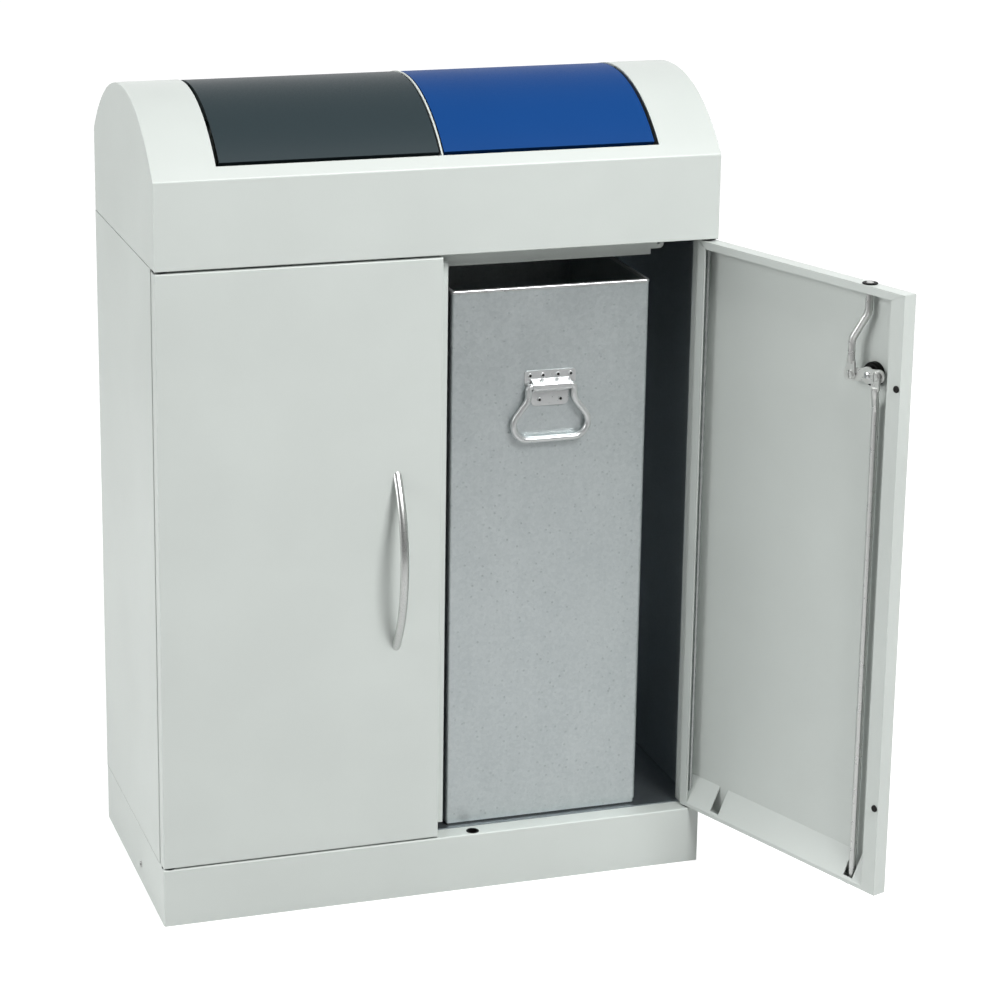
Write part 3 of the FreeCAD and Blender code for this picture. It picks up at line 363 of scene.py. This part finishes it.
# Sides and back: folded panels of galvanised sheet, coated on the outside and left bare inside.
# The sides have folded jambs at the front that the doors close in front of, and the coat that drifts
# in past the jambs thins out over the first few centimetres. This lighter band near the front is also
# painted light, for the light that falls in at the opening.
panel_zinc = {"Dark": (0.34, 0.385, 0.415), "Light": (0.44, 0.485, 0.515)}
side_inner_face = 0.3592
back_inner_face = 0.1792
coat_and_painted_light_fade_from = -0.135
coat_and_painted_light_gone_at = -0.085
panel = new_material("panel_coated_outside")
shader, place = inside_of(panel)
coat = use_group(coat_skin, place, **grey_coat)
bare = use_group(zinc_sheet, place, **panel_zinc)
axes = axes_of(place)
inside = sums("LESS_THAN", sums("ABSOLUTE", axes["X"]), side_inner_face)
inside = sums("MULTIPLY", inside, sums("LESS_THAN", axes["Y"], back_inner_face))
# Painted light: the coat's share fades over this span, so the inner sides are lighter near the front, where
# light falls in at the opening.
inside = sums("MULTIPLY", inside, spread(axes["Y"], 0.0, 1.0, start=coat_and_painted_light_fade_from, end=coat_and_painted_light_gone_at))
panel_colour = mixed(inside, coat["Colour"], bare["Colour"])
panel_roughness = mixed(inside, coat["Roughness"], bare["Roughness"])
clad(shader, panel_colour, panel_roughness, coat["Height"], coat_relief)
feed(shader.inputs["Metallic"], sums("MULTIPLY", inside, bare_metal))
add_joint_shadows(panel)
dress(panel, "left_side_panel", "right_side_panel", "back_panel")

# Hood: one folded sheet with a barrel top, and a welded D-shaped plate at each end.
# It is coated with the cabinet and sits on the side panels.
dress(grey_with_joint_shadows, "hood_shell", "hood_left_end", "hood_right_end")

# Divider and chutes: folded sheet plates welded under the hood, coated with it.
# They part the two openings and lead down into the bins. Only the divider's upper edge shows from
# outside, as a thin line between the flaps.
coated_grey = surface("cabinet_grey_coat", coat_skin, coat_relief, **grey_coat)
dress(coated_grey, "hood_divider", "left_chute", "right_chute")

# Front rail: a small angle of coated sheet steel, with rounded ends and a hole near each end.
# It is welded under the hood's front flange, which it stiffens, and was coated with the hood.
dress(coated_grey, "front_rail")

# Flap axles: steel pins that the flaps swing on, welded into the hood's ends and its divider.
# They were coated with the hood, and their outer ends are ground flush.
dress(coated_grey, "flap_axles")

# Door bushes: flanged rings of moulded black plastic that the doors' hinge rods turn in.
# They are pressed into the plinth's top and the hood's front flange, and the doors sit on the flanges
# of the lower two.
hinge_bush = {"bore": 0.00255, "outside": 0.00495, "depth": 0.005, "rim": 0.0092}
lower_bush_lip = 0.0017
upper_bush_lip = 0.0015
upwards = (0.0, 0.0, 1.0)
downwards = (0.0, 0.0, -1.0)
black_plastic = surface("black_moulded_plastic", mottled_skin, relief=0.00004, gloss=0.06,
                        Dark=(0.004, 0.004, 0.004), Light=(0.008, 0.008, 0.008), Scale=60.0,
                        Smooth=0.36, Dull=0.48)


def soften(bm, verts, width):
    """Rounds every edge of a turned shape that is sharper than its round sides."""
    sharp = [e for e in edges_at(verts) if e.calc_face_angle(0.0) > math.radians(35.0)]
    bmesh.ops.bevel(bm, geom=sharp, offset=width, segments=2, profile=0.5, affect="EDGES", material=-1)


def flanged_ring(bm, place, bore, outside, depth, rim, lip):
    """A ring sunk in a sheet from its place's XY plane, with a flange of the given height on top."""
    known = set(bm.verts)
    profile = [(bore, -depth), (bore, lip), (rim, lip), (rim, 0.0), (outside, 0.0), (outside, -depth)]
    ring = turned(bm, profile, closed=True, steps=40)
    soften(bm, ring, width=0.35 * lip)
    bmesh.ops.transform(bm, matrix=place, verts=[v for v in bm.verts if v not in known])


hinge = next(j for j in frame["record"]["behaviour"]["joints"] if j["name"] == "right_door_hinge")
hinge_x, hinge_y = hinge["pos_m"][:2]
sill_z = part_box("plinth")[1].z
hood_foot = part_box("hood_shell")[0].z
bm = bmesh.new()
for x in (-hinge_x, hinge_x):
    flanged_ring(bm, facing((x, hinge_y, sill_z), upwards), lip=lower_bush_lip, **hinge_bush)
    flanged_ring(bm, facing((x, hinge_y, hood_foot), downwards), lip=upper_bush_lip, **hinge_bush)
finished("hinge_bushes", bm, [black_plastic], "cabinet", "black_plastic", "pivot_bushes")

# Sill bush: one more ring of moulded black plastic in the plinth's top, which the lower lock rod enters.
# Its flange is thin and hardly wider than the ring, and lies flat on the sill.
sill_bush = {"bore": 0.006, "outside": 0.00795, "depth": 0.005, "rim": 0.0083, "lip": 0.0006}
lower_rod_x = 0.049
bm = bmesh.new()
flanged_ring(bm, facing((lower_rod_x, hinge_y, sill_z), upwards), **sill_bush)
finished("sill_rod_bush", bm, [black_plastic], "cabinet", "black_plastic", "sill_bush")

# Doors: folded pans of coated sheet steel with return flanges, a lip at the top and a leaning channel
# along the bottom. The flange on the hinge side is folded once more, round the hinge rod.
dress(coated_grey, "left_door_panel", "right_door_panel")

# Closing strip: a joggled strip of coated sheet steel, welded inside the left door's free edge.
# The right door closes against it, so that no gap shows between the two.
dress(coated_grey, "closing_strip")

# Hinge rods: one long plated steel rod in the hinge fold of each door.
# Its ends stand out at the fold's top and bottom, and turn in the door bushes.
rod_zinc = surface("hinge_rod_zinc", mottled_skin, relief=0.00003, metal=1.0, Dark=(0.40, 0.42, 0.42),
                   Light=(0.55, 0.57, 0.56), Scale=120.0, Smooth=0.3, Dull=0.45)
dress(rod_zinc, "left_hinge_rod", "right_hinge_rod")

# Bow handles: oval bars bent to one arc and cut flat where they meet the door.
# They are steel with a fine satin grind along their length.
satin_dark = (0.56, 0.575, 0.56)
satin_light = (0.70, 0.715, 0.70)
satin_relief = 0.00003
satin_steel = new_material("satin_ground_steel")
shader, place = inside_of(satin_steel)
scratches = noise(drawn_out(place, pace=0.02), scale=2400.0, detail=3.0, rough=0.6)
satin_colour = mixed(spread(scratches, low=0.0, high=1.0), satin_dark, satin_light)
clad(shader, satin_colour, spread(scratches, low=0.26, high=0.36), scratches, satin_relief)
shader.inputs["Metallic"].default_value = 1.0
dress(satin_steel, "left_handle", "right_handle")

# Handle screws: two button-head screws from inside each door, into the ends of its bow handle.
# They are zinc plated, with a hex socket. The right door stands open, so its screws turn with it.
door_sheet = 0.0015
handle_screw_head = 0.0026
handle_screw_radius = 0.004
handle_screw_socket = 0.48
to_back = (0.0, 1.0, 0.0)
pivot = Matrix.Translation(hinge["pos_m"])
as_opened = pivot @ Matrix.Rotation(math.radians(-hinge["range_deg"][0]), 4, "Z") @ pivot.inverted()
door_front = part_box("left_door_panel")[0].y
low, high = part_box("left_handle_screws")
from_middle = -(low.x + high.x) / 2.0
for side, way, turn in (("left", -1.0, Matrix.Identity(4)), ("right", 1.0, as_opened)):
    bm = bmesh.new()
    for z in (low.z + handle_screw_radius, high.z - handle_screw_radius):
        seat = turn @ facing((way * from_middle, door_front + door_sheet, z), to_back)
        socket_screw(bm, seat, handle_screw_radius, handle_screw_head, handle_screw_socket)
    finished(side + "_door_screw_heads", bm, [zinc, painted_recess_shade], side + "_door", "zinc_plate",
             side + "_handle_screws")

# Buffers: two soft buttons of black rubber pushed into the right door's free flange.
# Each has a rounded crown with a shallow dimple in its middle.
buffer_radius = 0.0043
buffer_profile = [(buffer_radius, 0.0), (buffer_radius, 0.0012), (0.0039, 0.0019), (0.0031, 0.0025),
                  (0.0016, 0.0022), (0.0, 0.0020)]
buffer_x = 0.007
buffer_heights = (0.193, 0.728)
door_back = -0.160
rubber = surface("black_rubber", mottled_skin, relief=0.00006, gloss=0.2, Dark=(0.005, 0.005, 0.005),
                 Light=(0.014, 0.013, 0.012), Scale=260.0, Smooth=0.55, Dull=0.75)
bm = bmesh.new()
for z in buffer_heights:
    button = turned(bm, buffer_profile)
    bmesh.ops.edgeloop_fill(bm, edges=ring_edges(button, 0.0, buffer_radius))
    seat = as_opened @ facing((buffer_x, door_back, z), to_back)
    bmesh.ops.transform(bm, matrix=seat, verts=button)
finished("rubber_buffers", bm, [rubber], "right_door", "black_rubber", "door_buffers")

# Lock: a black moulded sleeve through the right door with a bezel outside and a ring nut inside.
# The key plug turns in the sleeve and is chrome plated. Its squared end drives the cam.
dress(black_plastic, "lock_body", "lock_nut")
chrome = surface("lock_plug_chrome", mottled_skin, relief=0.00002, metal=1.0, Dark=(0.62, 0.63, 0.64),
                 Light=(0.72, 0.73, 0.73), Scale=200.0, Smooth=0.10, Dull=0.2)
dress(chrome, "lock_plug")

# Cam and rods: a slotted plate on the plug's end, and two round steel rods with flattened ends.
# All of it is zinc plated. A slotted pin in each rod's flat end runs in the cam.
dress(zinc, "lock_cam", "upper_rod", "lower_rod")

# Cam screw: the button-head screw that holds the cam on the plug.
# It is bright plated steel, with a hex socket in its crown.
cam_screw_radius = 0.0045
cam_screw_head = 0.0024
cam_screw_socket = 0.5
cam_face = -0.1635
lock_x = 0.059
low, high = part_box("lock_plug")
lock_z = (low.z + high.z) / 2.0
bm = bmesh.new()
seat = as_opened @ facing((lock_x, cam_face, lock_z), to_back)
socket_screw(bm, seat, cam_screw_radius, cam_screw_head, cam_screw_socket)
finished("cam_screw_head", bm, [chrome, painted_recess_shade], "lock_turn", "bright_steel", "cam_screw")

# Rod guides: flanged rings of moulded black plastic in the door's top and bottom edges.
# The rods slide in them, and their flanges are rounded where they show.
rod_guide = {"bore": 0.00455, "outside": 0.00705, "depth": 0.005, "rim": 0.0095}
top_guide_lip = 0.0015
bottom_guide_lip = 0.0008
upper_rod_x = 0.068
low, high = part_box("right_door_panel")
for name, x, z, way, lip in (("top_rod_guide", upper_rod_x, high.z, upwards, top_guide_lip),
                             ("bottom_rod_guide", lower_rod_x, low.z, downwards, bottom_guide_lip)):
    bm = bmesh.new()
    flanged_ring(bm, as_opened @ facing((x, hinge_y, z), way), lip=lip, **rod_guide)
    finished(name + "_ring", bm, [black_plastic], "right_door", "black_plastic", name)

# Flaps: curved sheets of steel with hemmed edges, each with a flat ear welded on at both ends.
# The left one is powder coated dark grey and the right one blue, both smoother than the cabinet.
flap_smoothness = {"Peel": 0.22, "Wave": 0.4}
flap_grey = surface("flap_dark_grey_coat", coat_skin, coat_relief, gloss=0.3,
                    Colour=(0.020, 0.033, 0.038), Roughness=0.45, **flap_smoothness)
flap_blue = surface("flap_blue_coat", coat_skin, coat_relief, gloss=0.1,
                    Colour=(0.004, 0.047, 0.188), Roughness=0.5, **flap_smoothness)
dress(flap_grey, "left_flap_skin", "left_flap_ears")
dress(flap_blue, "right_flap_skin", "right_flap_ears")

# Flap bushes: flanged rings of moulded black plastic, pressed into the flaps' ears.
# They turn on the axle pins, and their flanges keep each flap off the cheeks beside it.
dress(black_plastic, "left_flap_bushes", "right_flap_bushes")

# Bins: tall boxes folded from galvanised sheet, brighter than the cabinet's floor, whose zinc is painted
# darker as shade.
# They are open at the top, with their corner seams folded and pressed flat.
bin_zinc = {"Dark": (0.434, 0.478, 0.486), "Light": (0.552, 0.593, 0.597)}
bin_metal = 0.75
bin_sheet = surface("bin_sheet", zinc_sheet, sheet_relief, metal=bin_metal, **bin_zinc)
dress(bin_sheet, "left_bin_shell", "right_bin_shell")

# Bin bases: a shallow folded ring under each bin, of the same galvanised sheet.
# Its lowest edge slides on the cabinet's floor, and a thin band there is darkened as painted shadow of the
# gap under the bin.
shadow_band_height = 0.0025
contact_shadow_shade = 0.12
base_sheet = surface("bin_base_sheet", zinc_sheet, sheet_relief, metal=bin_metal, **bin_zinc)
shader, place = inside_of(base_sheet)
base_colour = shader.inputs["Base Color"].links[0].from_socket
# Painted shadow: the base's colour is darkened in a thin band along its lowest edge.
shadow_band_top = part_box("left_bin_base")[0].z + shadow_band_height
contact_shadow_band = sums("LESS_THAN", axes_of(place)["Z"], shadow_band_top)
kept = spread(contact_shadow_band, low=1.0, high=contact_shadow_shade, start=0.0, end=1.0)
feed(shader.inputs["Base Color"], scaled(base_colour, kept))
dress(base_sheet, "left_bin_base", "right_bin_base")

# Bin rims: the bin's own sheet, rolled over at the top so that no sharp edge is left.
# Rolling and handling have rubbed its zinc bright.
bright_zinc = surface("bright_zinc", mottled_skin, relief=0.000005, metal=0.84, Dark=(0.61, 0.63, 0.63),
                      Light=(0.69, 0.70, 0.70), Scale=110.0, Smooth=0.27, Dull=0.35)
dress(bright_zinc, "left_bin_rim", "right_bin_rim")

# Handle plates: pressed steel plates, bright zinc plated, riveted to the front of each bin.
# A barrel pressed in the plate's middle holds the bail.
dress(bright_zinc, "left_handle_plate", "right_handle_plate")

# Bails: one round steel wire through the plate's barrel, bent to a wide drop ring.
# It is bright zinc plated like its plate, and hangs flat against the bin.
dress(bright_zinc, "left_bail", "right_bail")

# Plate rivets: hollow blind rivets through the handle plate and the bin's front.
# Each has a low domed head with the broken-off mandrel's hole in its middle, a shallow dish painted
# near-black as the shade of a deep hole, and a flat tail inside.
rivet_radius = 0.0032
rivet_head = 0.0016
rivet_hole = 0.0020
rivet_steps = 20
head_profile = [(rivet_radius, 0.0), (rivet_radius, 0.0004), (0.0028, 0.0011), (0.0023, rivet_head),
                (0.0019, 0.0015), (0.0017, 0.0005), (0.0, 0.0004)]
tail_profile = [(0.0, 0.0), (0.0022, 0.0), (0.0028, 0.0002), (rivet_radius, 0.0006), (rivet_radius, 0.0008),
                (0.0, 0.0008)]
top_row = (-0.027, -0.010, 0.010, 0.027)
bottom_row = (-0.014, 0.014)
row_drop = 0.032
to_front = (0.0, -1.0, 0.0)
for side in ("left", "right"):
    low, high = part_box(side + "_plate_rivets")
    middle = (low + high) / 2.0
    top_z = high.z - rivet_radius
    rivets = [(along, top_z) for along in top_row] + [(along, top_z - row_drop) for along in bottom_row]
    bm = bmesh.new()
    for along, z in rivets:
        known = set(bm.faces)
        head = turned(bm, head_profile, steps=rivet_steps)
        bmesh.ops.edgeloop_fill(bm, edges=ring_edges(head, 0.0, rivet_radius))
        # The faces of the mandrel hole take the second material, painted near-black as shade.
        for face in bm.faces:
            if face not in known and all(v.co.xy.length < rivet_hole for v in face.verts):
                face.material_index = 1
        seat = facing((middle.x + along, low.y + rivet_head, z), to_front)
        bmesh.ops.transform(bm, matrix=seat, verts=head)
        tail = turned(bm, tail_profile, steps=rivet_steps)
        bmesh.ops.transform(bm, matrix=facing((middle.x + along, high.y, z), to_front), verts=tail)
    finished(side + "_blind_rivets", bm, [bright_zinc, painted_recess_shade], side + "_bin", "bright_steel",
             side + "_plate_rivets")

# Studio floor: a wide sheet of pale paper under the station, which is white to the camera.
# It throws some light back close to the station, and hardly any farther out.
paper_reach = 30.0
paper_roughness = 0.9
bm = bmesh.new()
bmesh.ops.create_circle(bm, cap_ends=True, segments=96, radius=paper_reach)
floor_mesh = bpy.data.meshes.new("studio_floor")
bm.to_mesh(floor_mesh)
bm.free()
studio_floor = bpy.data.objects.new("studio_floor", floor_mesh)
bpy.context.collection.objects.link(studio_floor)
paper = new_material("pale_paper")
shader, place = inside_of(paper)
distance = place.id_data.nodes.new("ShaderNodeVectorMath")
distance.operation = "LENGTH"
feed(distance.inputs[0], place)
away = distance.outputs["Value"]
seen = place.id_data.nodes.new("ShaderNodeLightPath").outputs["Is Camera Ray"]
glow = spread(away, low=0.62, high=1.0, start=1.0, end=3.5)
feed(shader.inputs["Base Color"], spread(away, low=0.56, high=0.08, start=1.4, end=3.5))
feed(shader.inputs["Emission Strength"], sums("MULTIPLY", seen, glow))
shader.inputs["Emission Color"].default_value = (1.0, 1.0, 1.0, 1.0)
shader.inputs["Roughness"].default_value = paper_roughness
floor_mesh.materials.append(paper)

# Surroundings: plain white to the camera, on every side.
# Their light is strongest from behind the station, and weak from the front and from overhead.
world = bpy.data.worlds.new("studio")
world.use_nodes = True
surround = world.node_tree.nodes
backdrop = surround["Background"]
seen = surround.new("ShaderNodeLightPath").outputs["Is Camera Ray"]
axes = axes_of(surround.new("ShaderNodeTexCoord").outputs["Generated"])
from_behind = spread(axes["Y"], low=0.22, high=1.34, start=-0.6, end=0.4)
from_low = spread(axes["Z"], low=1.0, high=0.25, start=0.1, end=0.7)
room = sums("MULTIPLY", from_behind, from_low)
backdrop.inputs["Color"].default_value = (1.0, 1.0, 1.0, 1.0)
feed(backdrop.inputs["Strength"], spread(seen, low=room, high=1.0, start=0.0, end=1.0))
bpy.context.scene.world = world

# Studio lights: five square softboxes round the station, each aimed at a height on its middle line.
# The strong one stands in front, high and a little to the right, and the others fill its shadows.
for name, at, aim_height, size, power in (("front_softbox", (1.15, -3.0, 3.5), 0.5, 1.4, 190.0),
                                          ("top_softbox", (0.2, -1.3, 3.9), 0.8, 2.0, 12.0),
                                          ("left_softbox", (-4.0, -0.4, 2.3), 0.5, 2.4, 90.0),
                                          ("right_softbox", (4.2, 0.9, 1.9), 0.5, 2.2, 46.0),
                                          ("rear_left_softbox", (-3.4, 1.0, 1.7), 0.5, 2.2, 38.0)):
    lamp = bpy.data.lights.new(name, "AREA")
    lamp.shape = "SQUARE"
    lamp.size = size
    lamp.energy = power
    softbox = bpy.data.objects.new(name, lamp)
    softbox.location = at
    aim = Vector((0.0, 0.0, aim_height)) - Vector(at)
    softbox.rotation_euler = aim.to_track_quat("-Z", "Y").to_euler()
    softbox.visible_camera = False
    bpy.context.collection.objects.link(softbox)

# Camera: a long lens to the left of the station's front, a little above the hood.
# Its place, its angles and its lens were solved from the cabinet's corners.
camera_place = (-1.085, -3.650, 1.698)
camera_turn = -18.47
camera_tilt = 90.0 - 15.88
camera_roll = 0.89
sensor_width = 36.0
lens_in_widths = 3.060
camera_data = bpy.data.cameras.new("camera")
camera_data.sensor_width = sensor_width
camera_data.lens = lens_in_widths * sensor_width
camera_data.shift_y = -0.1
camera_data.clip_end = 200.0
camera = bpy.data.objects.new("camera", camera_data)
stand = Matrix.Translation(camera_place)
for degrees, axis in ((camera_turn, "Z"), (camera_tilt, "X"), (camera_roll, "Z")):
    stand = stand @ Matrix.Rotation(math.radians(degrees), 4, axis)
camera.matrix_world = stand
bpy.context.collection.objects.link(camera)
bpy.context.scene.camera = camera
bpy.context.scene.view_settings.view_transform = "Standard"
